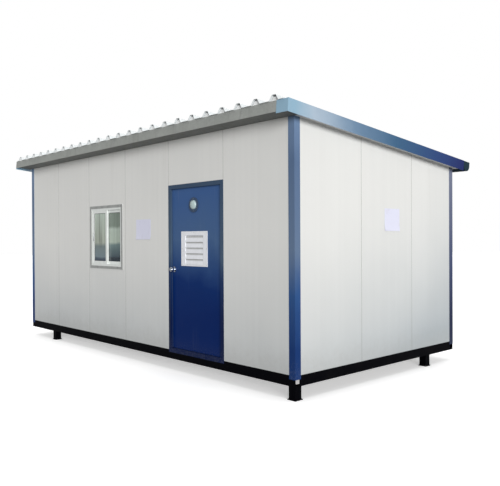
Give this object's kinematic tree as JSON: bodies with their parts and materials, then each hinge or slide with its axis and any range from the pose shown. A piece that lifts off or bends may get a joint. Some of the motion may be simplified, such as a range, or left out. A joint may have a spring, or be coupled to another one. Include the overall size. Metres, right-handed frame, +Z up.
{
  "type": "portable site cabin",
  "caption": "Portable site cabin with sandwich panel walls, a blue steel door with a louvre, a sliding window and a low-slope ribbed roof on a steel base frame.",
  "frame": {"origin": "on the ground under the middle of the roof's outline", "axes": "+X to the right along the long front wall, -Y out of the front wall with the door, +Z up"},
  "size_m": [6.354, 3.5076, 2.9999],
  "materials": {
    "base_steel": "dull black paint over steel",
    "deck_board": "worn board",
    "wall_panel": "off-white coated steel skin, satin",
    "blue_steel": "blue gloss paint",
    "louvre": "white enamel",
    "port_ring": "dark satin paint",
    "port_lens": "frosted",
    "hinge_steel": "zinc plated",
    "knob": "polished",
    "window_trim": "dull anodised",
    "window_frame": "white, semi-gloss",
    "window_glass": "clear with a green tint",
    "roof_sheet": "pale coated steel",
    "roof_panel": "off-white coated steel skin",
    "zinc_steel": "galvanised, dull",
    "gutter": "dark paint"
  },
  "bodies": {
    "cabin": {"base_cross_joists": "base_steel", "base_front_rail": "base_steel", "base_left_rail": "base_steel", "base_rear_rail": "base_steel", "base_right_rail": "base_steel", "corner_post_front_left": "blue_steel", "corner_post_front_right": "blue_steel", "corner_post_rear_left": "blue_steel", "corner_post_rear_right": "blue_steel", "door_frame": "blue_steel", "door_hinges_fixed": "hinge_steel", "feet": "base_steel", "floor_deck": "deck_board", "front_eave_trim": "zinc_steel", "front_wall_left": "wall_panel", "front_wall_left_end": "wall_panel", "front_wall_middle": "wall_panel", "front_wall_over_door": "wall_panel", "front_wall_right_end": "wall_panel", "front_wall_window": "wall_panel", "left_wall_front": "wall_panel", "left_wall_middle": "wall_panel", "left_wall_rear": "wall_panel", "rear_gutter": "gutter", "rear_wall_panel_1": "wall_panel", "rear_wall_panel_2": "wall_panel", "rear_wall_panel_3": "wall_panel", "rear_wall_panel_4": "wall_panel", "rear_wall_panel_5": "wall_panel", "rear_wall_panel_6": "wall_panel", "right_wall_front": "wall_panel", "right_wall_middle": "wall_panel", "right_wall_rear": "wall_panel", "roof_battens": "zinc_steel", "roof_panels": "roof_panel", "roof_sheet_1": "roof_sheet", "roof_sheet_2": "roof_sheet", "roof_sheet_3": "roof_sheet", "roof_sheet_4": "roof_sheet", "roof_sheet_5": "roof_sheet", "roof_sheet_6": "roof_sheet", "verge_flashing_left": "blue_steel", "verge_flashing_right": "blue_steel", "window_frame": "window_frame", "window_glass_left": "window_glass", "window_glass_right": "window_glass", "window_sash_left": "window_frame", "window_sash_right": "window_frame", "window_trim": "window_trim"},
    "door": {"door_leaf": "blue_steel", "door_louvre": "louvre", "door_port_ring": "port_ring", "door_port_lens": "port_lens", "door_hinges_moving": "hinge_steel", "door_knob_roses": "knob"},
    "knob": {"door_knob": "knob"}
  },
  "joints": [
    {"name": "door_swing", "type": "hinge", "parent": "cabin", "child": "door", "pos_m": [1.9355, -1.447, 0.25], "axis": [0, 0, -1], "range_deg": [0, 105]},
    {"name": "knob_turn", "type": "hinge", "parent": "door", "child": "knob", "pos_m": [1.023, -1.48, 1.24], "axis": [0, 1, 0], "range_deg": [-60, 60], "stiffness_Nm_per_rad": 0.4}
  ]
}
